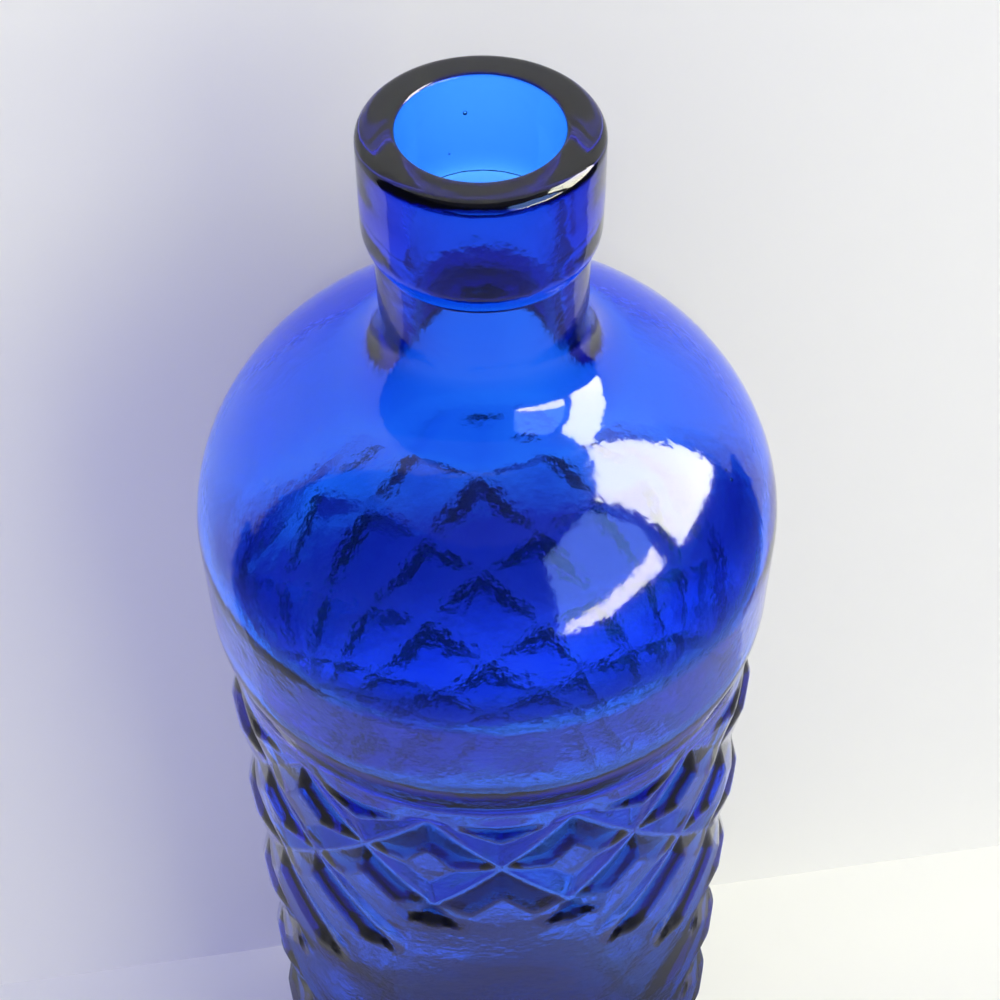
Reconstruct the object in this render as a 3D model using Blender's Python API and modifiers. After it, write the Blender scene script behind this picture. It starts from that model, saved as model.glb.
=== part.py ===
"""Cobalt glass decanter bottle: one blown and moulded vessel.

V grooves cross round the body and leave raised diamond pads between them. A
smooth panel with pointed ends fills the front, on the -Y side. Lengths are in
metres, +Z is up and the origin is the centre of the base.
"""

import math

import bmesh
import bpy

# Mouth, collar and neck
MOUTH_RADIUS = 0.0100
MOUTH_EDGE_ROUND = 0.0005
BORE_TAPER = 0.0007
BORE_TAPER_LENGTH = 0.0200
NECK_WALL = 0.0041
NECK_HEIGHT = 0.0110
COLLAR_OVERHANG = 0.00125
COLLAR_HEIGHT = 0.0160
LIP_ROUND = 0.0016
COLLAR_FOOT_ROUND = 0.0036

# Shoulder
NECK_FLARE_HEIGHT = 0.0090
DOME_HEIGHT = 0.0290
DOME_SQUARENESS = 1.82
FLARE_MEETS_DOME = math.radians(16.6)
DOME_WALL = 0.0033
SHOULDER_WALL_HEIGHT = 0.0135

# Beads and rings that close the patterned band at both ends
BEAD_PROUD = 0.0005
BEAD_EDGE = 0.0010
BEAD_EDGE_DRAFT = 0.0001
BEVEL_HEIGHT = 0.0058
RING_HEIGHT = 0.0036
RING_SETBACK = 0.0008

# Patterned body
BODY_RADIUS = 0.0403
BODY_WALL = 0.0037
CELLS_AROUND = 12
DIAMOND_ROWS = 7
DIAMOND_HEIGHT = 0.0235
GROOVE_DEPTH = 0.00145
WALL_ABOVE_GROOVE = 0.0059
WALL_BELOW_GROOVE = 0.0039
PANEL_HALF_CELLS = 2

# Foot
FOOT_WALL_HEIGHT = 0.0142
HEEL_ROUND = 0.0080
REST_RING_WIDTH = 0.0040
PUSH_UP_HEIGHT = 0.0040
BASE_THICKNESS = 0.0070
INNER_HEEL_ROUND = 0.0090

# How finely the round shapes are divided
FACETS_PER_CELL = 6
BORE_FACETS = 36
LIP_STEPS = 3
COLLAR_STEPS = 4
FLARE_STEPS = 3
DOME_STEPS = 9
INNER_DOME_STEPS = 6
HEEL_STEPS = 4
PUSH_UP_STEPS = 3
SHARP_ANGLE = math.radians(11)
CUTTER_RISE = 0.0050
MERGE_DISTANCE = 0.00001

# Radii that follow from the sizes above
NECK_BORE_RADIUS = MOUTH_RADIUS - BORE_TAPER
NECK_RADIUS = NECK_BORE_RADIUS + NECK_WALL
COLLAR_RADIUS = NECK_RADIUS + COLLAR_OVERHANG
BEAD_RADIUS = BODY_RADIUS + BEAD_PROUD
RING_RADIUS = BODY_RADIUS - RING_SETBACK
INNER_RADIUS = BODY_RADIUS - BODY_WALL

# Heights, stacked from the table up
FOOT_TOP = HEEL_ROUND + FOOT_WALL_HEIGHT
LOWER_RING_BASE = FOOT_TOP + BEAD_EDGE + BEVEL_HEIGHT
BAND_BASE = LOWER_RING_BASE + RING_HEIGHT
BAND_TOP = BAND_BASE + DIAMOND_ROWS * DIAMOND_HEIGHT
UPPER_RING_TOP = BAND_TOP + RING_HEIGHT
BEAD_BASE = UPPER_RING_TOP + BEVEL_HEIGHT
BEAD_TOP = BEAD_BASE + BEAD_EDGE
DOME_FOOT = BEAD_TOP + SHOULDER_WALL_HEIGHT
DOME_TOP = DOME_FOOT + DOME_HEIGHT
NECK_BASE = DOME_TOP + NECK_FLARE_HEIGHT
COLLAR_BASE = NECK_BASE + NECK_HEIGHT
LIP_TOP = COLLAR_BASE + COLLAR_HEIGHT

# The lattice is measured in half diamonds: u runs round the body from the
# front, v runs down from the top of the band.
HALF_ROWS = 2 * DIAMOND_ROWS
HALF_HEIGHT = DIAMOND_HEIGHT / 2
HALF_WIDTH = BODY_RADIUS * math.pi / CELLS_AROUND
FACETS_PER_HALF = FACETS_PER_CELL // 2
PANEL_TIP_TOP = 1
PANEL_TIP_BASE = HALF_ROWS - PANEL_TIP_TOP
PANEL_SIDE = 2 * PANEL_HALF_CELLS


def round_points(centre, radii, start, end, steps):
    """Points on an elliptical arc in the (radius, height) plane, both ends included."""
    points = []
    for step in range(steps + 1):
        angle = math.radians(start + (end - start) * step / steps)
        across = centre[0] + radii[0] * math.cos(angle)
        up = centre[1] + radii[1] * math.sin(angle)
        points.append((across, up))
    return points


def shoulder_points(neck_radius, neck_base, dome_top, foot_radius, steps):
    """Neck end, flare and dome down to the dome's foot, on the height DOME_FOOT."""
    power = 2 / DOME_SQUARENESS
    spread = foot_radius - neck_radius
    rise = dome_top - DOME_FOOT

    def dome(angle):
        across = neck_radius + spread * math.sin(angle) ** power
        up = DOME_FOOT + rise * max(math.cos(angle), 0.0) ** power
        return across, up

    joint = dome(FLARE_MEETS_DOME)
    slope = rise / spread * math.tan(FLARE_MEETS_DOME) ** (2 - power)
    corner = (neck_radius, joint[1] + slope * (joint[0] - neck_radius))
    start = (neck_radius, neck_base)
    points = []
    for step in range(FLARE_STEPS):
        t = step / FLARE_STEPS
        across = (1 - t) ** 2 * start[0] + 2 * t * (1 - t) * corner[0] + t * t * joint[0]
        up = (1 - t) ** 2 * start[1] + 2 * t * (1 - t) * corner[1] + t * t * joint[1]
        points.append((across, up))
    for step in range(steps + 1):
        angle = FLARE_MEETS_DOME + (math.pi / 2 - FLARE_MEETS_DOME) * step / steps
        points.append(dome(angle))
    return points


def push_up_points(radius, height):
    """The base rises as a shallow bowl from this radius to the axis."""
    points = []
    for step in range(1, PUSH_UP_STEPS + 1):
        across = radius * (1 - step / PUSH_UP_STEPS)
        points.append((across, height + PUSH_UP_HEIGHT * (1 - (across / radius) ** 2)))
    return points


def outside_outline():
    """The bottle's outside from the middle of the mouth down to the middle of the base."""
    points = [(0.0, LIP_TOP)]
    lip_centre = (COLLAR_RADIUS - LIP_ROUND, LIP_TOP - LIP_ROUND)
    points += round_points(lip_centre, (LIP_ROUND, LIP_ROUND), 90, 0, LIP_STEPS)
    collar_centre = (NECK_RADIUS, COLLAR_BASE + COLLAR_FOOT_ROUND)
    points += round_points(collar_centre, (COLLAR_OVERHANG, COLLAR_FOOT_ROUND), 0, -90, COLLAR_STEPS)
    points += shoulder_points(NECK_RADIUS, NECK_BASE, DOME_TOP, BEAD_RADIUS, DOME_STEPS)
    points.append((BEAD_RADIUS, BEAD_TOP))
    points.append((BEAD_RADIUS - BEAD_EDGE_DRAFT, BEAD_BASE))
    points.append((RING_RADIUS, UPPER_RING_TOP))
    rows = HALF_ROWS * FACETS_PER_HALF
    for row in range(rows + 1):
        points.append((RING_RADIUS, BAND_TOP + (BAND_BASE - BAND_TOP) * row / rows))
    points.append((RING_RADIUS, LOWER_RING_BASE))
    points.append((BEAD_RADIUS - BEAD_EDGE_DRAFT, FOOT_TOP + BEAD_EDGE))
    points.append((BEAD_RADIUS, FOOT_TOP))
    heel_centre = (BEAD_RADIUS - HEEL_ROUND, HEEL_ROUND)
    points += round_points(heel_centre, (HEEL_ROUND, HEEL_ROUND), 0, -90, HEEL_STEPS)
    rest_inside = BEAD_RADIUS - HEEL_ROUND - REST_RING_WIDTH
    points.append((rest_inside, 0.0))
    points += push_up_points(rest_inside, 0.0)
    return points


def cavity_outline():
    """The hollow, from just above the mouth down to the middle of its floor."""
    edge_radius = MOUTH_RADIUS + MOUTH_EDGE_ROUND
    points = [(0.0, LIP_TOP + CUTTER_RISE), (edge_radius, LIP_TOP + CUTTER_RISE)]
    edge_centre = (edge_radius, LIP_TOP - MOUTH_EDGE_ROUND)
    points += round_points(edge_centre, (MOUTH_EDGE_ROUND, MOUTH_EDGE_ROUND), 90, 180, 2)
    points.append((NECK_BORE_RADIUS, LIP_TOP - BORE_TAPER_LENGTH))
    inner_top = DOME_TOP - DOME_WALL
    inner_neck_base = NECK_BASE - DOME_WALL / 2
    points += shoulder_points(NECK_BORE_RADIUS, inner_neck_base, inner_top, INNER_RADIUS, INNER_DOME_STEPS)
    floor_centre = (INNER_RADIUS - INNER_HEEL_ROUND, BASE_THICKNESS + INNER_HEEL_ROUND)
    points += round_points(floor_centre, (INNER_HEEL_ROUND, INNER_HEEL_ROUND), 0, -90, HEEL_STEPS)
    points += push_up_points(INNER_RADIUS - INNER_HEEL_ROUND, BASE_THICKNESS)
    return points


def turned(name, outline, facets, collection):
    """An outline turned once round the Z axis."""
    mesh = bpy.data.meshes.new(name)
    corners = [(across, 0.0, up) for across, up in outline]
    edges = [(index, index + 1) for index in range(len(corners) - 1)]
    mesh.from_pydata(corners, edges, [])
    shape = bpy.data.objects.new(name, mesh)
    collection.objects.link(shape)
    screw = shape.modifiers.new("turn", "SCREW")
    screw.axis = "Z"
    screw.steps = facets
    screw.render_steps = facets
    screw.use_merge_vertices = True
    screw.merge_threshold = MERGE_DISTANCE
    screw.use_smooth_shade = True
    return shape


def wall_share(u, v, lean):
    """Where a lattice point lies on the walls of the grooves that lean one way.

    The share is 0 in the bottom of a groove and 1 where its wall reaches a pad; the wall
    above a groove is wider than the one below. A groove is the line lean * u + v = n for
    odd n. It stops where it would run into the front panel, and starts again past it.
    """
    across = HALF_WIDTH ** 2
    along = HALF_HEIGHT ** 2
    level = lean * u + v
    lower = 2 * math.floor((level - 1) / 2) + 1
    shares = []
    for n, wall_width in ((lower, WALL_BELOW_GROOVE), (lower + 2, WALL_ABOVE_GROOVE)):
        foot = (across * (n - lean * u) + along * v) / (across + along)
        if PANEL_TIP_TOP <= n <= PANEL_TIP_BASE:
            first = max((PANEL_TIP_TOP + n) / 2, n - PANEL_SIDE)
            last = min((PANEL_TIP_BASE + n) / 2, n + PANEL_SIDE)
            if n == PANEL_TIP_TOP:
                first = PANEL_TIP_TOP + 1
            if n == PANEL_TIP_BASE:
                last = PANEL_TIP_BASE - 1
            if first < foot < last:
                foot = first if foot < (first + last) / 2 else last
        sideways = (lean * (n - foot) - u) * HALF_WIDTH
        upright = (foot - v) * HALF_HEIGHT
        shares.append(math.hypot(sideways, upright) / wall_width)
    return min(shares)


def relief_depth(u, v):
    """How far the glass lies inside the pads: V grooves, and slopes up from both rings."""
    share = min(wall_share(u, v, 1), wall_share(u, v, -1))
    groove = GROOVE_DEPTH * max(0.0, 1 - share)
    from_end = min(v, HALF_ROWS - v) * HALF_HEIGHT
    ring = RING_SETBACK - GROOVE_DEPTH / WALL_BELOW_GROOVE * from_end
    return max(groove, ring, 0.0)


def lattice_place(point):
    """Lattice coordinates of a point, with u = 0 at the front."""
    angle = math.atan2(point.x, -point.y)
    return angle * CELLS_AROUND / math.pi, (BAND_TOP - point.z) / HALF_HEIGHT


def carve_relief(mesh):
    """Move the band's points to the relief, and fold each face along its groove."""
    band = bmesh.new()
    band.from_mesh(mesh)
    in_band = set()
    for vert in band.verts:
        if BAND_BASE - MERGE_DISTANCE < vert.co.z < BAND_TOP + MERGE_DISTANCE:
            in_band.add(vert)
            u, v = lattice_place(vert.co)
            radius = BODY_RADIUS - relief_depth(u, v)
            factor = radius / math.hypot(vert.co.x, vert.co.y)
            vert.co.x *= factor
            vert.co.y *= factor
    faces = [face for face in band.faces if all(vert in in_band for vert in face.verts)]
    for face in faces:
        corners = list(face.verts)
        depths = [relief_depth(*lattice_place(vert.co)) for vert in corners]
        if max(depths) == 0.0:
            continue
        middle = relief_depth(*lattice_place(face.calc_center_median()))
        first = abs((depths[0] + depths[2]) / 2 - middle)
        second = abs((depths[1] + depths[3]) / 2 - middle)
        start = 0 if first < second else 1
        bmesh.utils.face_split(face, corners[start], corners[start + 2])
    join_panel_rows(band)
    band.to_mesh(mesh)
    band.free()


def join_panel_rows(band):
    """Join the faces that lie one above another in the smooth panel, which are flat together."""
    flat = [edge for edge in band.edges if is_panel_row(edge)]
    bmesh.ops.dissolve_edges(band, edges=flat, use_verts=True)


def is_panel_row(edge):
    """A level edge with a plain panel face above and below it."""
    if abs(edge.verts[0].co.z - edge.verts[1].co.z) > MERGE_DISTANCE:
        return False
    for face in edge.link_faces:
        if len(face.verts) != 4:
            return False
        for vert in face.verts:
            if relief_depth(*lattice_place(vert.co)) > 0.0:
                return False
    return True


def glass_material():
    """Clear deep blue glass with a fire-polished surface."""
    material = bpy.data.materials.new("cobalt_glass")
    material.use_nodes = True
    shader = material.node_tree.nodes["Principled BSDF"]
    shader.inputs["Base Color"].default_value = (0.02, 0.07, 0.72, 1.0)
    shader.inputs["Roughness"].default_value = 0.04
    shader.inputs["Metallic"].default_value = 0.0
    shader.inputs["IOR"].default_value = 1.52
    shader.inputs["Transmission Weight"].default_value = 1.0
    material.diffuse_color = (0.02, 0.07, 0.72, 1.0)
    return material


def new_collection(name):
    collection = bpy.data.collections.new(name)
    bpy.context.scene.collection.children.link(collection)
    return collection


def make_bottle(parts, cutters):
    """The vessel: turned outside with its relief, less the hollow that opens at the mouth."""
    blank = turned("bottle_blank", outside_outline(), CELLS_AROUND * FACETS_PER_CELL, cutters)
    evaluated = blank.evaluated_get(bpy.context.evaluated_depsgraph_get())
    mesh = bpy.data.meshes.new_from_object(evaluated)
    bpy.data.objects.remove(blank)
    mesh.name = "glass_bottle"
    carve_relief(mesh)
    mesh.materials.append(glass_material())
    mesh.shade_smooth()
    mesh.set_sharp_from_angle(angle=SHARP_ANGLE)
    bottle = bpy.data.objects.new("glass_bottle", mesh)
    parts.objects.link(bottle)

    hollow = turned("hollow_cutter", cavity_outline(), BORE_FACETS, cutters)
    hollow.hide_render = True
    hollow.display_type = "WIRE"
    cut = bottle.modifiers.new("hollow", "BOOLEAN")
    cut.operation = "DIFFERENCE"
    cut.solver = "EXACT"
    cut.object = hollow
    return bottle


def main():
    for leftover in list(bpy.data.objects):
        bpy.data.objects.remove(leftover)
    parts = new_collection("decanter")
    cutters = new_collection("cutters")
    make_bottle(parts, cutters)


main()
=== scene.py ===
"""Looks of the cobalt glass decanter bottle.

One blown and moulded vessel, modelled as a single closed skin of glass: its outside with
the diamond relief, its lip, and its wavy inside wall. Lengths are in metres, +Z is up and
the bottle stands on z = 0 with its smooth panel towards -Y.
"""

import math

import bmesh
import bpy
import numpy as np
from mathutils import Matrix, Vector, noise


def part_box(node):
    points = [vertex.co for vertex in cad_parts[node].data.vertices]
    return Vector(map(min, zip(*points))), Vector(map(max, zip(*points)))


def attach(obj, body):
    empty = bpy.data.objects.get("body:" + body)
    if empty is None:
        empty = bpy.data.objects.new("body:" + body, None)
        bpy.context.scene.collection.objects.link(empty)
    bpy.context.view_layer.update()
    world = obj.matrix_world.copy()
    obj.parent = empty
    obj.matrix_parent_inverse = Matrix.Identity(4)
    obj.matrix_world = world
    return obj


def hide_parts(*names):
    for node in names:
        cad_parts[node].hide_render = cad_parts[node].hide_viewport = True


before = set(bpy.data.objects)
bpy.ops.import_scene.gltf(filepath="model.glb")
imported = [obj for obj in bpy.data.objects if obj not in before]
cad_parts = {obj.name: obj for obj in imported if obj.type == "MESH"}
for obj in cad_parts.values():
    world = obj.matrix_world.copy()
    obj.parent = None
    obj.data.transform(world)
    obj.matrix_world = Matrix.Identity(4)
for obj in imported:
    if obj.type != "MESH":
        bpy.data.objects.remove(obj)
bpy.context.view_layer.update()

bottle_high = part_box("glass_bottle")[1]

# Sizes read from the CAD bottle
LIP_TOP = bottle_high.z
BEAD_RADIUS = bottle_high.x

# Mouth, collar and neck; depths are measured down from the lip
MOUTH_RADIUS = 0.0100
MOUTH_EDGE_ROUND = 0.0005
NECK_BORE_RADIUS = 0.0093
BORE_TAPER_DEPTH = 0.0200
NECK_RADIUS = 0.0134
COLLAR_RADIUS = 0.01480
COLLAR_DEPTH = 0.0160
COLLAR_FOOT_ROUND = 0.0029
LIP_ROUND = 0.0016
NECK_END_DEPTH = 0.0270

# Shoulder
DOME_TOP_DEPTH = 0.0360
DOME_FOOT_DEPTH = 0.0650
DOME_SQUARENESS = 1.82
FLARE_MEETS_DOME = math.radians(16.6)
DOME_WALL = 0.0033
BEAD_DEPTH = 0.0785
BEAD_EDGE = 0.0010
BEAD_EDGE_DRAFT = 0.0001
BEVEL_END_DEPTH = 0.0853

# Patterned body
BAND_TOP_DEPTH = 0.0889
BODY_RADIUS = BEAD_RADIUS - 0.0005
RING_RADIUS = BODY_RADIUS - 0.0008
INNER_RADIUS = BODY_RADIUS - 0.0037
CELLS_AROUND = 12
HALF_ROWS = 14
HALF_HEIGHT = 0.01175
HALF_WIDTH = BODY_RADIUS * math.pi / CELLS_AROUND
GROOVE_DEPTH = 0.00145
WALL_ABOVE_GROOVE = 0.0059
WALL_BELOW_GROOVE = 0.0039
GROOVE_BOTTOM_ROUND = 0.00015
PAD_EDGE_ROUND = 0.00005
PANEL_TIP_TOP = 1
PANEL_TIP_BASE = HALF_ROWS - PANEL_TIP_TOP
PANEL_SIDE = 4

# Foot
HEEL_ROUND = 0.0080
REST_RING_WIDTH = 0.0040
PUSH_UP_HEIGHT = 0.0040
BASE_THICKNESS = 0.0070
INNER_HEEL_ROUND = 0.0090

# The share of the relief that the inside wall follows, how often it is smoothed there, and
# the difference in radius below which that wall counts as upright
INSIDE_FOLLOWS = 0.4
INSIDE_SMOOTHINGS = 3
SAME_RADIUS = 1e-6

# Unevenness of the glass: height and span of its waves, and the margins where they fade out
SWELL_HEIGHT = 0.00006
SWELL_SPAN = 0.011
RIPPLE_HEIGHT = 0.000024
RIPPLE_SPAN = 0.0042
TRUE_ABOVE_BASE = 0.004
TRUE_BELOW_LIP = 0.001
DRIFT_HEIGHT = 0.00045
DRIFT_SPAN = 0.034
WAVE_HEIGHT = 0.00022
WAVE_SPAN = 0.012
EVEN_BELOW_LIP = 0.03
EVEN_NEAR_AXIS = 0.002
EVEN_FADES_OVER = 0.02

# Seeds of air caught in the glass: place from the lip's middle, and radius
SEEDS = (((-0.0016, 0.0106, -0.0058), 0.00032), ((-0.0038, 0.0100, -0.0114), 0.00016),
         ((0.0313, -0.0132, -0.0483), 0.00030), ((0.0306, -0.0124, -0.0472), 0.00018))

# The polished skin's fine orange peel: the length of one wave, 1.4 mm, and its height
PEEL_SPAN = 1 / 700
PEEL_HEIGHT = 0.00003

# How finely the skin is divided: rows of the band, and columns with their angle from the
# front and their place in half cells from the middle of the panel
FACETS_PER_HALF = 16
BAND_ROWS = HALF_ROWS * FACETS_PER_HALF + 1
BAND_HEIGHTS = LIP_TOP - BAND_TOP_DEPTH - HALF_HEIGHT * np.arange(BAND_ROWS) / FACETS_PER_HALF
COLUMNS = 2 * CELLS_AROUND * FACETS_PER_HALF
COLUMN_ANGLES = np.arange(COLUMNS) * 2 * math.pi / COLUMNS
COLUMN_PLACES = ((COLUMN_ANGLES * CELLS_AROUND / math.pi + CELLS_AROUND) % (2 * CELLS_AROUND)) - CELLS_AROUND

# The camera, from the photograph's perspective: distances from the bottle's axis and lip
FOCAL_LENGTHS_OF_FRAME = 1.85
CAMERA_AWAY = 0.17340
CAMERA_ABOVE_LIP = 0.13141
CAMERA_ROUND = math.radians(-1.65)
CAMERA_PITCH = math.radians(48.608)
CAMERA_YAW = math.radians(0.603)
CAMERA_ROLL = math.radians(-0.583)
SENSOR_WIDTH = 36.0

# Floor, and the pale board that stands close behind the bottle
FLOOR_RADIUS = 4.0
FLOOR_SIDES = 96
BOARD_BEHIND = 0.0549
BOARD_TURN = math.radians(5.96)
BOARD_LEFT = 0.24
BOARD_RIGHT = 0.22
BOARD_HEIGHT = 0.60
# Strength of the painted glow that the board adds where it is seen through the glass
BOARD_PAINTED_GLOW = 1.70

# Painted shadow: a blue sheet between board and bottle, seen only through the glass, that stands in for the
# bottle's own deep shadow on the board behind it; tones are given by their height
GEL_BEHIND = 0.0480
GEL_LEFT = 0.0750
GEL_RIGHT = 0.1300
GEL_TOP = 0.1850
SHADOW_GEL_TONES = ((0.070, "F0E6FF"), (0.086, "8468C0"), (0.107, "7860B4"), (0.124, "B890FF"),
             (0.148, "A058A8"), (0.166, "A058A8"), (0.184, "FFFFFF"))

# Dark cloth round the front of the studio; its ends are angles in degrees from the front
ROOM_RADIUS = 3.6
ROOM_FOOT = 0.002
ROOM_HEIGHT = 5.2
ROOM_LEFT = -97.0
ROOM_RIGHT = 109.0
ROOM_SIDES = 60

# Painted reflection of the table as the glass mirrors it: a glow, dimmed by painted shade at the bottle's
# foot; tones are given by their distance from the axis
TABLE_REACH = 3.6
TABLE_HEIGHT = 0.001
TABLE_SIDES = 64
TABLE_TONES = ((0.090, "6C6E76"), (0.135, "C6C6CA"), (0.200, "CCCCD0"), (0.270, "A4A4AA"),
               (0.400, "74767C"), (0.620, "484A50"), (1.000, "303238"))

# Window light at the right; its ends are angles in degrees from the front, and its sill and
# head are heights over the dome's middle for each metre of distance
DOME_MIDDLE = LIP_TOP - 0.050
WINDOW_AWAY = 1.2
WINDOW_FROM = 24.0
WINDOW_TO = 107.0
WINDOW_SILL = 0.14
WINDOW_HEAD = 2.0
WINDOW_POWER = 70.0

# What the glass mirrors of the window: corners along the wall and above the dome's middle,
# and how far each sheet hangs before the light
PANE_AHEAD = 0.02
SILL_AHEAD = 0.04
FAR_PANE = ((-0.306, 0.218), (0.328, 0.160), (0.353, 0.920), (0.527, 2.400), (-0.400, 1.620),
            (-0.355, 0.790))
NEAR_PANE = ((-2.840, 0.420), (-1.470, 0.270), (-0.507, 0.237), (-0.463, 0.884), (-0.707, 1.780),
             (-2.660, 2.640))
SUNLIT_SILL = ((-2.500, 0.400), (-1.470, 0.270), (-0.507, 0.237), (-0.490, 0.480), (-1.400, 0.480),
               (-2.300, 0.560))

# Soft lamp high before the bottle
KEY_AWAY = 1.6
KEY_ROUND = math.radians(-2)
KEY_UP = math.radians(42)
KEY_ACROSS = 0.35
KEY_POWER = 5.5


def linear(hex_colour):
    """A colour written as sRGB hex, as the linear values that the shaders take."""
    parts = [int(hex_colour[start:start + 2], 16) / 255 for start in (0, 2, 4)]
    return [part / 12.92 if part <= 0.04045 else ((part + 0.055) / 1.055) ** 2.4 for part in parts]


def add_node(tree, kind, settings=None, links=None):
    """A shader node with its settings: attributes by name, sockets by name or number."""
    node = tree.nodes.new(kind)
    for key, value in (settings or {}).items():
        if isinstance(key, str) and hasattr(node, key):
            setattr(node, key, value)
        else:
            node.inputs[key].default_value = value
    for key, source in (links or {}).items():
        tree.links.new(source, node.inputs[key])
    return node


def place_camera():
    """A camera at the photograph's place, turned as its picture is."""
    forward = Vector((math.sin(CAMERA_YAW) * math.cos(CAMERA_PITCH),
                      math.cos(CAMERA_YAW) * math.cos(CAMERA_PITCH),
                      -math.sin(CAMERA_PITCH)))
    level = Vector((math.cos(CAMERA_YAW), -math.sin(CAMERA_YAW), 0.0))
    upright = level.cross(forward)
    right = math.cos(CAMERA_ROLL) * level + math.sin(CAMERA_ROLL) * upright
    up = math.cos(CAMERA_ROLL) * upright - math.sin(CAMERA_ROLL) * level
    turn = Matrix((right, up, -forward)).transposed().to_4x4()
    place = Matrix.Translation((0.0, -CAMERA_AWAY, LIP_TOP + CAMERA_ABOVE_LIP))
    lens = bpy.data.cameras.new("camera")
    lens.sensor_width = SENSOR_WIDTH
    lens.lens = FOCAL_LENGTHS_OF_FRAME * SENSOR_WIDTH
    lens.clip_start = 0.01
    lens.clip_end = 50.0
    camera = bpy.data.objects.new("camera", lens)
    camera.matrix_world = Matrix.Rotation(CAMERA_ROUND, 4, "Z") @ place @ turn
    bpy.context.scene.collection.objects.link(camera)
    bpy.context.scene.camera = camera


def round_points(centre, radii, start, end, steps):
    """Points on an elliptical arc in the (radius, height) plane, from one angle to another in degrees."""
    angles = np.radians(np.linspace(start, end, steps + 1))
    return [(centre[0] + radii[0] * math.cos(a), centre[1] + radii[1] * math.sin(a)) for a in angles]


def straight_points(start, end, steps):
    """Points after the start, up to the end, evenly along a line."""
    return [(start[0] + (end[0] - start[0]) * k / steps, start[1] + (end[1] - start[1]) * k / steps)
            for k in range(1, steps + 1)]


def shoulder_points(neck_radius, neck_end, dome_top, foot_radius, flare_steps, dome_steps):
    """Neck end, flare and dome down to the dome's foot."""
    power = 2 / DOME_SQUARENESS
    spread = foot_radius - neck_radius
    foot = LIP_TOP - DOME_FOOT_DEPTH
    rise = dome_top - foot

    def dome(angle):
        return (neck_radius + spread * math.sin(angle) ** power,
                foot + rise * max(math.cos(angle), 0.0) ** power)

    joint = dome(FLARE_MEETS_DOME)
    slope = rise / spread * math.tan(FLARE_MEETS_DOME) ** (2 - power)
    corner = (neck_radius, joint[1] + slope * (joint[0] - neck_radius))
    points = []
    for step in range(flare_steps):
        t = step / flare_steps
        shares = ((1 - t) ** 2, 2 * t * (1 - t), t * t)
        points.append((shares[0] * neck_radius + shares[1] * corner[0] + shares[2] * joint[0],
                       shares[0] * neck_end + shares[1] * corner[1] + shares[2] * joint[1]))
    for angle in np.linspace(FLARE_MEETS_DOME, math.pi / 2, dome_steps + 1):
        points.append(dome(angle))
    return points


def bowl_points(radius, height, steps):
    """The base rises as a shallow bowl from this radius towards the axis."""
    return [(radius * (1 - k / steps), height + PUSH_UP_HEIGHT * (1 - (1 - k / steps) ** 2))
            for k in range(1, steps + 1)]


def outside_above_band():
    """From the lip's flat top, over its edge, down collar, neck, dome, bead and ring."""
    points = [(MOUTH_RADIUS + MOUTH_EDGE_ROUND, LIP_TOP)]
    lip_flat = COLLAR_RADIUS - LIP_ROUND
    lip_edge = (LIP_ROUND, LIP_ROUND)
    points += straight_points(points[-1], (lip_flat, LIP_TOP), steps=4)
    points += round_points((lip_flat, LIP_TOP - LIP_ROUND), lip_edge, start=90, end=0, steps=12)[1:]
    collar_base = LIP_TOP - COLLAR_DEPTH
    collar_waist = (COLLAR_RADIUS, collar_base + COLLAR_FOOT_ROUND)
    points += straight_points(points[-1], collar_waist, steps=12)[:-1]
    collar_foot = (COLLAR_RADIUS - NECK_RADIUS, COLLAR_FOOT_ROUND)
    points += round_points((NECK_RADIUS, collar_waist[1]), collar_foot, start=0, end=-90, steps=12)
    neck_end = LIP_TOP - NECK_END_DEPTH
    points += straight_points(points[-1], (NECK_RADIUS, neck_end), steps=10)[:-1]
    points += shoulder_points(NECK_RADIUS, neck_end, LIP_TOP - DOME_TOP_DEPTH, BEAD_RADIUS,
                              flare_steps=14, dome_steps=60)
    bead = LIP_TOP - BEAD_DEPTH
    points += straight_points(points[-1], (BEAD_RADIUS, bead), steps=12)
    points.append((BEAD_RADIUS - BEAD_EDGE_DRAFT, bead - BEAD_EDGE))
    points += straight_points(points[-1], (RING_RADIUS, LIP_TOP - BEVEL_END_DEPTH), steps=6)
    points += straight_points(points[-1], (RING_RADIUS, LIP_TOP - BAND_TOP_DEPTH), steps=5)[:-1]
    return points


def outside_below_band():
    """From under the band, down ring, bead, foot wall and heel, to the rim of the base's middle."""
    band_base = BAND_HEIGHTS[-1]
    ring_height = BAND_TOP_DEPTH - BEVEL_END_DEPTH
    bevel_height = BEVEL_END_DEPTH - BEAD_DEPTH - BEAD_EDGE
    points = straight_points((RING_RADIUS, band_base), (RING_RADIUS, band_base - ring_height), steps=5)
    bead = band_base - ring_height - bevel_height
    points += straight_points(points[-1], (BEAD_RADIUS - BEAD_EDGE_DRAFT, bead), steps=6)
    points.append((BEAD_RADIUS, bead - BEAD_EDGE))
    points += straight_points(points[-1], (BEAD_RADIUS, HEEL_ROUND), steps=10)[:-1]
    heel_centre = (BEAD_RADIUS - HEEL_ROUND, HEEL_ROUND)
    points += round_points(heel_centre, (HEEL_ROUND, HEEL_ROUND), start=0, end=-90, steps=16)
    rest_inside = BEAD_RADIUS - HEEL_ROUND - REST_RING_WIDTH
    points += straight_points(points[-1], (rest_inside, 0.0), steps=3)
    points += bowl_points(rest_inside, 0.0, steps=14)
    return points[:-1]


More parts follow.
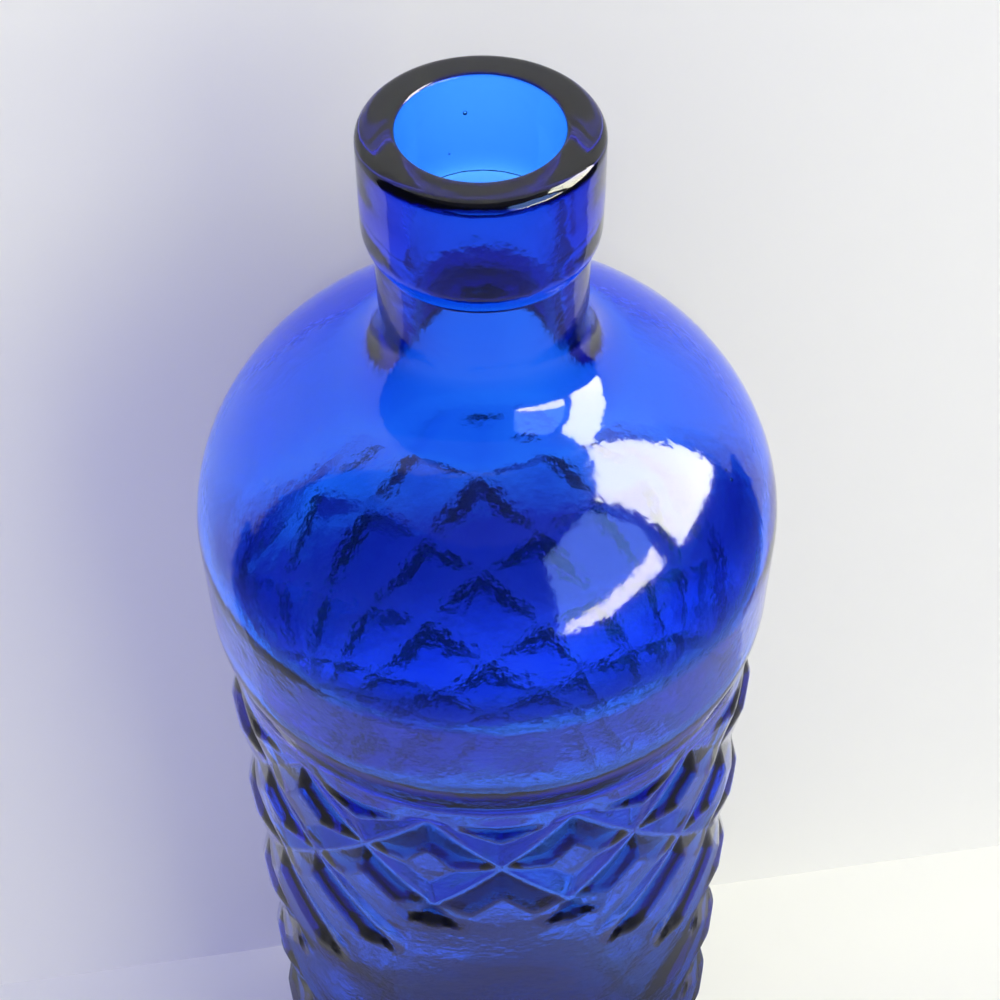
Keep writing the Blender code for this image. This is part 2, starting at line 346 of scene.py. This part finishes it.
def inside_outline():
    """The hollow's wall, from the rim of its floor's middle up to the rounded edge of the mouth."""
    mouth_centre = (MOUTH_RADIUS + MOUTH_EDGE_ROUND, LIP_TOP - MOUTH_EDGE_ROUND)
    mouth_edge = (MOUTH_EDGE_ROUND, MOUTH_EDGE_ROUND)
    down = round_points(mouth_centre, mouth_edge, start=90, end=180, steps=6)[1:]
    down += straight_points(down[-1], (NECK_BORE_RADIUS, LIP_TOP - BORE_TAPER_DEPTH), steps=14)
    inner_neck_end = LIP_TOP - NECK_END_DEPTH + DOME_WALL / 2
    inner_top = LIP_TOP - DOME_TOP_DEPTH - DOME_WALL
    bead_inside = INNER_RADIUS + BEAD_RADIUS - RING_RADIUS
    down += shoulder_points(NECK_BORE_RADIUS, inner_neck_end, inner_top, bead_inside,
                            flare_steps=12, dome_steps=36)
    down += straight_points(down[-1], (bead_inside, LIP_TOP - BEAD_DEPTH - BEAD_EDGE), steps=6)
    down += straight_points(down[-1], (INNER_RADIUS, LIP_TOP - BEVEL_END_DEPTH), steps=6)
    floor_centre = (INNER_RADIUS - INNER_HEEL_ROUND, BASE_THICKNESS + INNER_HEEL_ROUND)
    down += straight_points(down[-1], (INNER_RADIUS, floor_centre[1]), steps=210)[:-1]
    inner_heel = (INNER_HEEL_ROUND, INNER_HEEL_ROUND)
    down += round_points(floor_centre, inner_heel, start=0, end=-90, steps=14)
    down += bowl_points(INNER_RADIUS - INNER_HEEL_ROUND, BASE_THICKNESS, steps=14)
    return down[-2::-1]


def groove_wall(u, v, lean):
    """Depth of the grooves that lean one way, falling evenly to 0 where a wall meets a pad.

    A groove is the line lean * u + v = n for odd n. It stops where it would run into the
    front panel, and starts again past it. The wall above it is the wider one.
    """
    across = HALF_WIDTH ** 2
    along = HALF_HEIGHT ** 2
    lower = 2 * np.floor((lean * u + v - 1) / 2) + 1
    depths = []
    for n, wall_width in ((lower, WALL_BELOW_GROOVE), (lower + 2, WALL_ABOVE_GROOVE)):
        foot = (across * (n - lean * u) + along * v) / (across + along)
        first = np.maximum((PANEL_TIP_TOP + n) / 2, n - PANEL_SIDE)
        first = np.where(n == PANEL_TIP_TOP, PANEL_TIP_TOP + 1, first)
        last = np.minimum((PANEL_TIP_BASE + n) / 2, n + PANEL_SIDE)
        last = np.where(n == PANEL_TIP_BASE, PANEL_TIP_BASE - 1, last)
        stopped = (n >= PANEL_TIP_TOP) & (n <= PANEL_TIP_BASE) & (foot > first) & (foot < last)
        nearest_end = np.where(foot < (first + last) / 2, first, last)
        foot = np.where(stopped, nearest_end, foot)
        gap = np.hypot((lean * (n - foot) - u) * HALF_WIDTH, (foot - v) * HALF_HEIGHT)
        depths.append(GROOVE_DEPTH * (1 - np.hypot(gap, GROOVE_BOTTOM_ROUND) / wall_width))
    return np.maximum(depths[0], depths[1])


def softer_max(first, second, softness):
    """The larger of two values, with the crease where they cross rounded off."""
    return (first + second + np.sqrt((first - second) ** 2 + softness ** 2)) / 2


def relief_depth(heights):
    """How far the glass lies inside the pads: V grooves, and slopes up from both rings."""
    u = COLUMN_PLACES[None, :]
    v = np.clip((BAND_HEIGHTS[0] - heights) / HALF_HEIGHT, 0, HALF_ROWS)[:, None]
    depth = softer_max(groove_wall(u, v, 1), groove_wall(u, v, -1), PAD_EDGE_ROUND)
    slope = GROOVE_DEPTH / WALL_BELOW_GROOVE
    ring = (BODY_RADIUS - RING_RADIUS) - slope * np.minimum(v, HALF_ROWS - v) * HALF_HEIGHT
    depth = softer_max(depth, ring, PAD_EDGE_ROUND)
    return softer_max(depth, np.zeros_like(depth), PAD_EDGE_ROUND)


def ring_rows(points):
    """Radius and height of every grid point for the rows of a turned outline."""
    radius = np.array([point[0] for point in points])[:, None] * np.ones(COLUMNS)[None, :]
    height = np.array([point[1] for point in points])[:, None] * np.ones(COLUMNS)[None, :]
    return radius, height


def outside_rows():
    """Radius and height of the outside: from the lip down to the rim of the base's middle."""
    above, above_height = ring_rows(outside_above_band())
    band = BODY_RADIUS - relief_depth(BAND_HEIGHTS)
    band_height = BAND_HEIGHTS[:, None] * np.ones(COLUMNS)[None, :]
    below, below_height = ring_rows(outside_below_band())
    return np.vstack([above, band, below]), np.vstack([above_height, band_height, below_height])


def to_points(radius, height):
    """Grid positions; the angle is measured from the front, -Y, towards +X."""
    return radius * np.sin(COLUMN_ANGLES)[None, :], -radius * np.cos(COLUMN_ANGLES)[None, :], height


def waviness(points, span, offset):
    """Smooth noise between about -1 and 1 at points in the glass, for waves of a real length."""
    x, y, z = points
    flat = zip(x.ravel() / span + offset, y.ravel() / span, z.ravel() / span)
    return np.array([noise.noise(Vector(point)) for point in flat]).reshape(x.shape)


def blown_outside(radius, height):
    """The mould's slight unevenness: broad swells, and finer ripples where the dome cooled."""
    points = to_points(radius, height)
    swell = SWELL_HEIGHT * waviness(points, SWELL_SPAN, offset=3.0)
    ripple = RIPPLE_HEIGHT * waviness(points, RIPPLE_SPAN, offset=17.0)
    keep = np.clip(height / TRUE_ABOVE_BASE, 0, 1) * np.clip((LIP_TOP - height) / TRUE_BELOW_LIP, 0, 1)
    return radius + (swell + ripple - SWELL_HEIGHT) * keep


def follow_relief(radius, height):
    """The upright inside wall takes a softened share of the relief, as glass blown into a mould does."""
    depth = relief_depth(height[:, 0])
    for _ in range(INSIDE_SMOOTHINGS):
        depth = (np.roll(depth, 1, 1) + 2 * depth + np.roll(depth, -1, 1)) / 4
    depth[1:-1] = (depth[:-2] + 2 * depth[1:-1] + depth[2:]) / 4
    upright = np.abs(radius - INNER_RADIUS) < SAME_RADIUS
    return radius + INSIDE_FOLLOWS * (BODY_RADIUS - RING_RADIUS - depth) * upright


def blown_inside(radius, height):
    """The free blown wall: thickness drifts over a few centimetres, with shallow waves."""
    points = to_points(radius, height)
    drift = DRIFT_HEIGHT * waviness(points, DRIFT_SPAN, offset=41.0)
    wave = WAVE_HEIGHT * waviness(points, WAVE_SPAN, offset=53.0)
    below_lip = np.clip((LIP_TOP - height) / EVEN_BELOW_LIP, 0, 1)
    off_axis = np.clip((radius - EVEN_NEAR_AXIS) / EVEN_FADES_OVER, 0, 1)
    return radius + (drift + wave) * (below_lip * off_axis)


def grid_faces(first_point, rows):
    """Quads between neighbouring rows of a closed grid, as corner numbers."""
    row = np.arange(rows - 1)[:, None]
    column = np.arange(COLUMNS)[None, :]
    here = first_point + row * COLUMNS + column
    beside = first_point + row * COLUMNS + (column + 1) % COLUMNS
    return np.stack([here, here + COLUMNS, beside + COLUMNS, beside], -1).reshape(-1, 4)


def fold_relief(quads, depths):
    """Splits each quad of the band along the corner pair whose depths are most alike."""
    corner_depth = depths[quads]
    down = np.abs(corner_depth[:, 0] - corner_depth[:, 2])
    across = np.abs(corner_depth[:, 1] - corner_depth[:, 3])
    split_first = down < across
    first = quads[split_first]
    second = quads[~split_first]
    return np.vstack([first[:, [0, 1, 2]], first[:, [0, 2, 3]], second[:, [0, 1, 3]], second[:, [1, 2, 3]]])


def skin_points(outer, inner):
    """Every point of the skin: the two grids, row by row, then the middles of base and floor."""
    poles = [[0.0, 0.0, PUSH_UP_HEIGHT], [0.0, 0.0, BASE_THICKNESS + PUSH_UP_HEIGHT]]
    grids = [np.stack(to_points(*rows), -1).reshape(-1, 3) for rows in (outer, inner)]
    return np.vstack([*grids, poles])


def skin_faces(points, outer_rows, inner_rows):
    """Quads and triangles that join both grids at the mouth and close them at base and floor."""
    columns = np.arange(COLUMNS)
    beside = (columns + 1) % COLUMNS
    inner_start = outer_rows * COLUMNS
    mouth_row = inner_start + (inner_rows - 1) * COLUMNS
    mouth = np.stack([mouth_row + columns, columns, beside, mouth_row + beside], -1)
    quads = np.vstack([grid_faces(0, outer_rows), grid_faces(inner_start, inner_rows), mouth])
    band_start = len(outside_above_band()) * COLUMNS
    band_end = band_start + BAND_ROWS * COLUMNS
    in_band = (quads >= band_start).all(1) & (quads < band_end).all(1)
    folded = fold_relief(quads[in_band], np.hypot(points[:, 0], points[:, 1]))
    base_pole = np.full(COLUMNS, len(points) - 2)
    floor_pole = np.full(COLUMNS, len(points) - 1)
    last_row = (outer_rows - 1) * COLUMNS
    base_fan = np.stack([last_row + columns, base_pole, last_row + beside], -1)
    floor_fan = np.stack([floor_pole, inner_start + columns, inner_start + beside], -1)
    return quads[~in_band].tolist() + np.vstack([folded, base_fan, floor_fan]).tolist()


def add_seeds(mesh):
    """The small balls of air in the glass, as skins that face inwards."""
    skin = bmesh.new()
    skin.from_mesh(mesh)
    for centre, radius in SEEDS:
        place = Matrix.Translation((centre[0], centre[1], LIP_TOP + centre[2]))
        ball = bmesh.ops.create_icosphere(skin, subdivisions=2, radius=radius, matrix=place)
        faces = {face for vertex in ball["verts"] for face in vertex.link_faces}
        bmesh.ops.reverse_faces(skin, faces=list(faces))
    skin.to_mesh(mesh)
    skin.free()


def build_bottle():
    """The whole vessel as one closed skin of glass."""
    outer_radius, outer_height = outside_rows()
    outer_radius = blown_outside(outer_radius, outer_height)
    inner_radius, inner_height = ring_rows(inside_outline())
    inner_radius = follow_relief(inner_radius, inner_height)
    inner_radius = blown_inside(inner_radius, inner_height)
    points = skin_points((outer_radius, outer_height), (inner_radius, inner_height))
    faces = skin_faces(points, len(outer_radius), len(inner_radius))
    mesh = bpy.data.meshes.new("glass_decanter")
    mesh.from_pydata(points.tolist(), [], faces)
    add_seeds(mesh)
    mesh.shade_smooth()
    mesh.materials.append(blown_cobalt_glass())
    bottle = bpy.data.objects.new("glass_decanter", mesh)
    bpy.context.scene.collection.objects.link(bottle)
    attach(bottle, "root")
    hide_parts("glass_bottle")


def empty_material(name):
    """A material without nodes, and its node tree."""
    material = bpy.data.materials.new(name)
    material.use_nodes = True
    material.node_tree.nodes.clear()
    return material, material.node_tree


def blown_cobalt_glass():
    """Soda-lime glass coloured with cobalt, blown into an iron mould and fire-polished.

    It gives a bright skin that softens what is seen through it, deep blue where light
    crosses much glass, a clear bright blue where it crosses a single wall, and a thin
    blue shadow.
    """
    material, tree = empty_material("blown_cobalt_glass")
    place = add_node(tree, "ShaderNodeTexCoord")
    peel = add_node(tree, "ShaderNodeTexNoise", {"Scale": 1 / PEEL_SPAN, "Detail": 2.0, "Roughness": 0.45},
                    {"Vector": place.outputs["Object"]})
    bump = add_node(tree, "ShaderNodeBump", {"Strength": 0.9, "Distance": PEEL_HEIGHT},
                    {"Height": peel.outputs["Fac"]})
    glass = add_node(tree, "ShaderNodeBsdfPrincipled",
                     {"Base Color": (*linear("FFFFFF"), 1.0), "Roughness": 0.075, "IOR": 1.52,
                      "Metallic": 0.0, "Transmission Weight": 1.0},
                     {"Normal": bump.outputs["Normal"]})
    shadow = add_node(tree, "ShaderNodeBsdfTransparent", {"Color": (*linear("B8BEF4"), 1.0)})
    ray = add_node(tree, "ShaderNodeLightPath")
    casts_light = add_node(tree, "ShaderNodeMath", {"operation": "MAXIMUM"},
                           {0: ray.outputs["Is Shadow Ray"], 1: ray.outputs["Is Diffuse Ray"]})
    surface = add_node(tree, "ShaderNodeMixShader", None,
                       {0: casts_light.outputs["Value"], 1: glass.outputs["BSDF"],
                        2: shadow.outputs["BSDF"]})
    body = add_node(tree, "ShaderNodeVolumeAbsorption",
                    {"Color": (*linear("00BEF1"), 1.0), "Density": 700.0})
    add_node(tree, "ShaderNodeOutputMaterial", None,
             {"Surface": surface.outputs["Shader"], "Volume": body.outputs["Volume"]})
    return material


def wall_paint(name):
    """Emulsion paint, rolled on: an even, slightly warm matt white without a shine."""
    material = bpy.data.materials.new(name)
    material.use_nodes = True
    shader = material.node_tree.nodes["Principled BSDF"]
    shader.inputs["Base Color"].default_value = (*linear("F2F2EE"), 1.0)
    shader.inputs["Roughness"].default_value = 0.9
    shader.inputs["Specular IOR Level"].default_value = 0.1
    return material


def board_paint():
    """The same paint on the board's front; its back lets every view through.

    Where it is seen through the glass it also glows, a painted light that makes it brighter, so that the
    deep blue lets it show.
    """
    material = wall_paint("painted_board")
    tree = material.node_tree
    side = add_node(tree, "ShaderNodeNewGeometry")
    clear = add_node(tree, "ShaderNodeBsdfTransparent")
    mixed = add_node(tree, "ShaderNodeMixShader", None,
                     {0: side.outputs["Backfacing"], 1: tree.nodes["Principled BSDF"].outputs["BSDF"],
                      2: clear.outputs["BSDF"]})
    ray = add_node(tree, "ShaderNodeLightPath")
    lift = add_node(tree, "ShaderNodeMath", {"operation": "MULTIPLY", 1: BOARD_PAINTED_GLOW},
                    {0: ray.outputs["Is Transmission Ray"]})
    painted_glow = add_node(tree, "ShaderNodeEmission", {"Color": (*linear("F2F2EE"), 1.0)},
                     {"Strength": lift.outputs["Value"]})
    both = add_node(tree, "ShaderNodeAddShader", None,
                    {0: mixed.outputs["Shader"], 1: painted_glow.outputs["Emission"]})
    tree.links.new(both.outputs["Shader"], tree.nodes["Material Output"].inputs["Surface"])
    return material


def glow(name, hex_colour, strength):
    """An even glow, for what the glass reflects and the camera doesn't see."""
    material, tree = empty_material(name)
    light = add_node(tree, "ShaderNodeEmission", {"Color": (*linear(hex_colour), 1.0), "Strength": strength})
    add_node(tree, "ShaderNodeOutputMaterial", None, {"Surface": light.outputs["Emission"]})
    return material


def tones_along(tree, length, tones, reach):
    """A colour that changes evenly between the tones given for lengths up to the reach."""
    share = add_node(tree, "ShaderNodeMath", {"operation": "DIVIDE", 1: reach}, {0: length})
    ramp = add_node(tree, "ShaderNodeValToRGB", None, {"Fac": share.outputs["Value"]})
    stops = ramp.color_ramp.elements
    stops.remove(stops[1])
    stops[0].position = tones[0][0] / reach
    stops[0].color = (*linear(tones[0][1]), 1.0)
    for place, tone in tones[1:]:
        stops.new(place / reach).color = (*linear(tone), 1.0)
    return ramp.outputs["Color"]


def mirrored_tabletop():
    """Painted reflection of the pale table under the bottle: a glow that is dim at the foot, as painted
    shade, then bright, then dim again.
    """
    material, tree = empty_material("mirrored_table")
    place = add_node(tree, "ShaderNodeTexCoord")
    length = add_node(tree, "ShaderNodeVectorMath", {"operation": "LENGTH"}, {0: place.outputs["Object"]})
    tone = tones_along(tree, length.outputs["Value"], TABLE_TONES, TABLE_REACH)
    light = add_node(tree, "ShaderNodeEmission", {"Strength": 1.0}, {"Color": tone})
    add_node(tree, "ShaderNodeOutputMaterial", None, {"Surface": light.outputs["Emission"]})
    return material


def deep_painted_shadow_gel():
    """A transparent sheet that paints the bottle's own shadow on the board: clear at its top edge, and a
    deeper violet blue lower down, where that painted shade is deepest.
    """
    material, tree = empty_material("deep_painted_shadow_gel")
    place = add_node(tree, "ShaderNodeTexCoord")
    parts = add_node(tree, "ShaderNodeSeparateXYZ", None, {0: place.outputs["Object"]})
    tone = tones_along(tree, parts.outputs["Z"], SHADOW_GEL_TONES, GEL_TOP)
    sheet = add_node(tree, "ShaderNodeBsdfTransparent", None, {"Color": tone})
    add_node(tree, "ShaderNodeOutputMaterial", None, {"Surface": sheet.outputs["BSDF"]})
    return material


def staged(name, points, faces, material):
    """A piece of the studio, which isn't part of the bottle."""
    mesh = bpy.data.meshes.new(name)
    mesh.from_pydata(points, [], faces)
    mesh.materials.append(material)
    shape = bpy.data.objects.new(name, mesh)
    bpy.context.scene.collection.objects.link(shape)
    return shape


def only_in_glass(shape, seen_through):
    """A studio card that shows only as a reflection in glass, or also through it."""
    shape.visible_camera = False
    shape.visible_diffuse = False
    shape.visible_transmission = seen_through
    shape.visible_shadow = False
    shape.visible_volume_scatter = False


def disc(radius, height, sides):
    """Corners and face of a level disc with many sides."""
    angles = np.linspace(0, 2 * math.pi, sides + 1)[:-1]
    return [(radius * math.cos(a), radius * math.sin(a), height) for a in angles], [tuple(range(sides))]


def upright_sheet(behind, left, right, height):
    """Corners and face of a sheet behind the bottle, turned as the board is."""
    along = Vector((math.cos(BOARD_TURN), math.sin(BOARD_TURN), 0.0))
    middle = behind * Vector((-math.sin(BOARD_TURN), math.cos(BOARD_TURN), 0.0))
    left_foot = middle - left * along
    right_foot = middle + right * along
    up = Vector((0.0, 0.0, height))
    return [left_foot, right_foot, right_foot + up, left_foot + up], [(0, 1, 2, 3)]


def lay_floor():
    """A wide pale floor, which takes the bottle's shadow."""
    staged("floor", *disc(FLOOR_RADIUS, 0.0, FLOOR_SIDES), wall_paint("rolled_wall_paint"))


def stand_board():
    """A pale board close behind the bottle, which the view through the glass ends on."""
    staged("board", *upright_sheet(BOARD_BEHIND, BOARD_LEFT, BOARD_RIGHT, BOARD_HEIGHT), board_paint())


def hang_dark_surround():
    """The dim side of the studio in front of the bottle, and its ceiling, as the glass mirrors them."""
    wall = []
    for angle in np.radians(np.linspace(ROOM_LEFT, ROOM_RIGHT, ROOM_SIDES + 1)):
        across = math.sin(angle) * ROOM_RADIUS
        ahead = math.cos(angle) * ROOM_RADIUS
        wall += [(across, -ahead, ROOM_FOOT), (across, -ahead, ROOM_HEIGHT)]
    standing = [(k, k + 1, k + 3, k + 2) for k in range(0, 2 * ROOM_SIDES, 2)]
    cloth = glow("unlit_cloth", "3A3C44", 0.9)
    only_in_glass(staged("dark_surround", wall, standing, cloth), seen_through=False)
    rim = wall[1::2]
    middle = len(rim)
    ceiling = [(k, k + 1, middle) for k in range(ROOM_SIDES)]
    paint = glow("dim_ceiling_paint", "7C7E88", 0.75)
    only_in_glass(staged("dim_ceiling", rim + [(0.0, 0.0, ROOM_HEIGHT)], ceiling, paint), seen_through=False)


def lay_mirrored_table():
    """The table round the bottle as a glowing card that the glass mirrors, with painted shade at its foot.
    """
    tabletop = disc(TABLE_REACH, TABLE_HEIGHT, TABLE_SIDES)
    only_in_glass(staged("mirrored_table", *tabletop, mirrored_tabletop()), seen_through=False)


def set_window_light():
    """A tall soft light at the right, as wide as a window, in the warm white of a hazy day."""
    near = WINDOW_AWAY / math.tan(math.radians(WINDOW_FROM))
    far = WINDOW_AWAY / math.tan(math.radians(WINDOW_TO))
    sill = DOME_MIDDLE + WINDOW_SILL * WINDOW_AWAY
    head = DOME_MIDDLE + WINDOW_HEAD * WINDOW_AWAY
    lamp = bpy.data.lights.new("window_light", "AREA")
    lamp.shape = "RECTANGLE"
    lamp.size = near - far
    lamp.size_y = head - sill
    lamp.energy = WINDOW_POWER
    lamp.color = linear("FFFFD8")
    window = bpy.data.objects.new("window_light", lamp)
    window.location = (WINDOW_AWAY, -(near + far) / 2, (sill + head) / 2)
    window.rotation_euler = (math.radians(90), 0.0, math.radians(90))
    window.visible_camera = False
    window.visible_glossy = False
    bpy.context.scene.collection.objects.link(window)


def hang_panes():
    """The window's two panes and its bright sill, as the glass mirrors them."""
    panes = (("far_pane", FAR_PANE, PANE_AHEAD, glow("hazy_sky", "FFFCE8", 18.0)),
             ("near_pane", NEAR_PANE, PANE_AHEAD, glow("blue_sky", "80A8FF", 6.5)),
             ("sunlit_sill", SUNLIT_SILL, SILL_AHEAD, glow("sunlit_wall", "FFF8EC", 17.0)))
    for name, corners, ahead, light in panes:
        points = [(WINDOW_AWAY - ahead, along, DOME_MIDDLE + up) for along, up in corners]
        only_in_glass(staged(name, points, [tuple(range(len(points)))], light), seen_through=False)


def hang_key_light():
    """A soft lamp high before the bottle, which gives it its shadow on the board."""
    lamp = bpy.data.lights.new("key_light", "AREA")
    lamp.shape = "DISK"
    lamp.size = KEY_ACROSS
    lamp.energy = KEY_POWER
    key = bpy.data.objects.new("key_light", lamp)
    toward = Vector((math.sin(KEY_ROUND) * math.cos(KEY_UP), -math.cos(KEY_ROUND) * math.cos(KEY_UP),
                     math.sin(KEY_UP)))
    key.location = Vector((0.0, 0.0, DOME_MIDDLE)) + KEY_AWAY * toward
    key.rotation_euler = toward.to_track_quat("Z", "Y").to_euler()
    key.visible_camera = False
    key.visible_glossy = False
    key.visible_transmission = False
    bpy.context.scene.collection.objects.link(key)


def hang_painted_shadow_gel():
    """A blue sheet close behind the body, which only the view through the glass takes in; it paints the deep
    shade of the bottle's own shadow on the board.
    """
    sheet = upright_sheet(GEL_BEHIND, GEL_LEFT, GEL_RIGHT, GEL_TOP)
    gel = staged("painted_shadow_gel", *sheet, deep_painted_shadow_gel())
    only_in_glass(gel, seen_through=True)
    gel.visible_glossy = False


def light_world():
    """A pale surround: plain fill light, and bright where the glass mirrors or shows it."""
    world = bpy.data.worlds.new("studio")
    bpy.context.scene.world = world
    world.use_nodes = True
    tree = world.node_tree
    tree.nodes.clear()
    ray = add_node(tree, "ShaderNodeLightPath")
    seen = add_node(tree, "ShaderNodeMath", {"operation": "MAXIMUM"},
                    {0: ray.outputs["Is Glossy Ray"], 1: ray.outputs["Is Transmission Ray"]})
    either = add_node(tree, "ShaderNodeMath", {"operation": "MAXIMUM"},
                      {0: ray.outputs["Is Camera Ray"], 1: seen.outputs["Value"]})
    fill = add_node(tree, "ShaderNodeBackground", {"Color": (*linear("A0A2FF"), 1.0), "Strength": 0.45})
    shown = add_node(tree, "ShaderNodeBackground", {"Color": (*linear("F4F4F4"), 1.0), "Strength": 0.85})
    mixed = add_node(tree, "ShaderNodeMixShader", None,
                     {0: either.outputs["Value"], 1: fill.outputs["Background"],
                      2: shown.outputs["Background"]})
    add_node(tree, "ShaderNodeOutputWorld", None, {"Surface": mixed.outputs["Shader"]})


place_camera()
build_bottle()
lay_floor()
stand_board()
hang_dark_surround()
lay_mirrored_table()
set_window_light()
hang_panes()
hang_key_light()
hang_painted_shadow_gel()
light_world()
bpy.context.scene.view_settings.view_transform = "Standard"
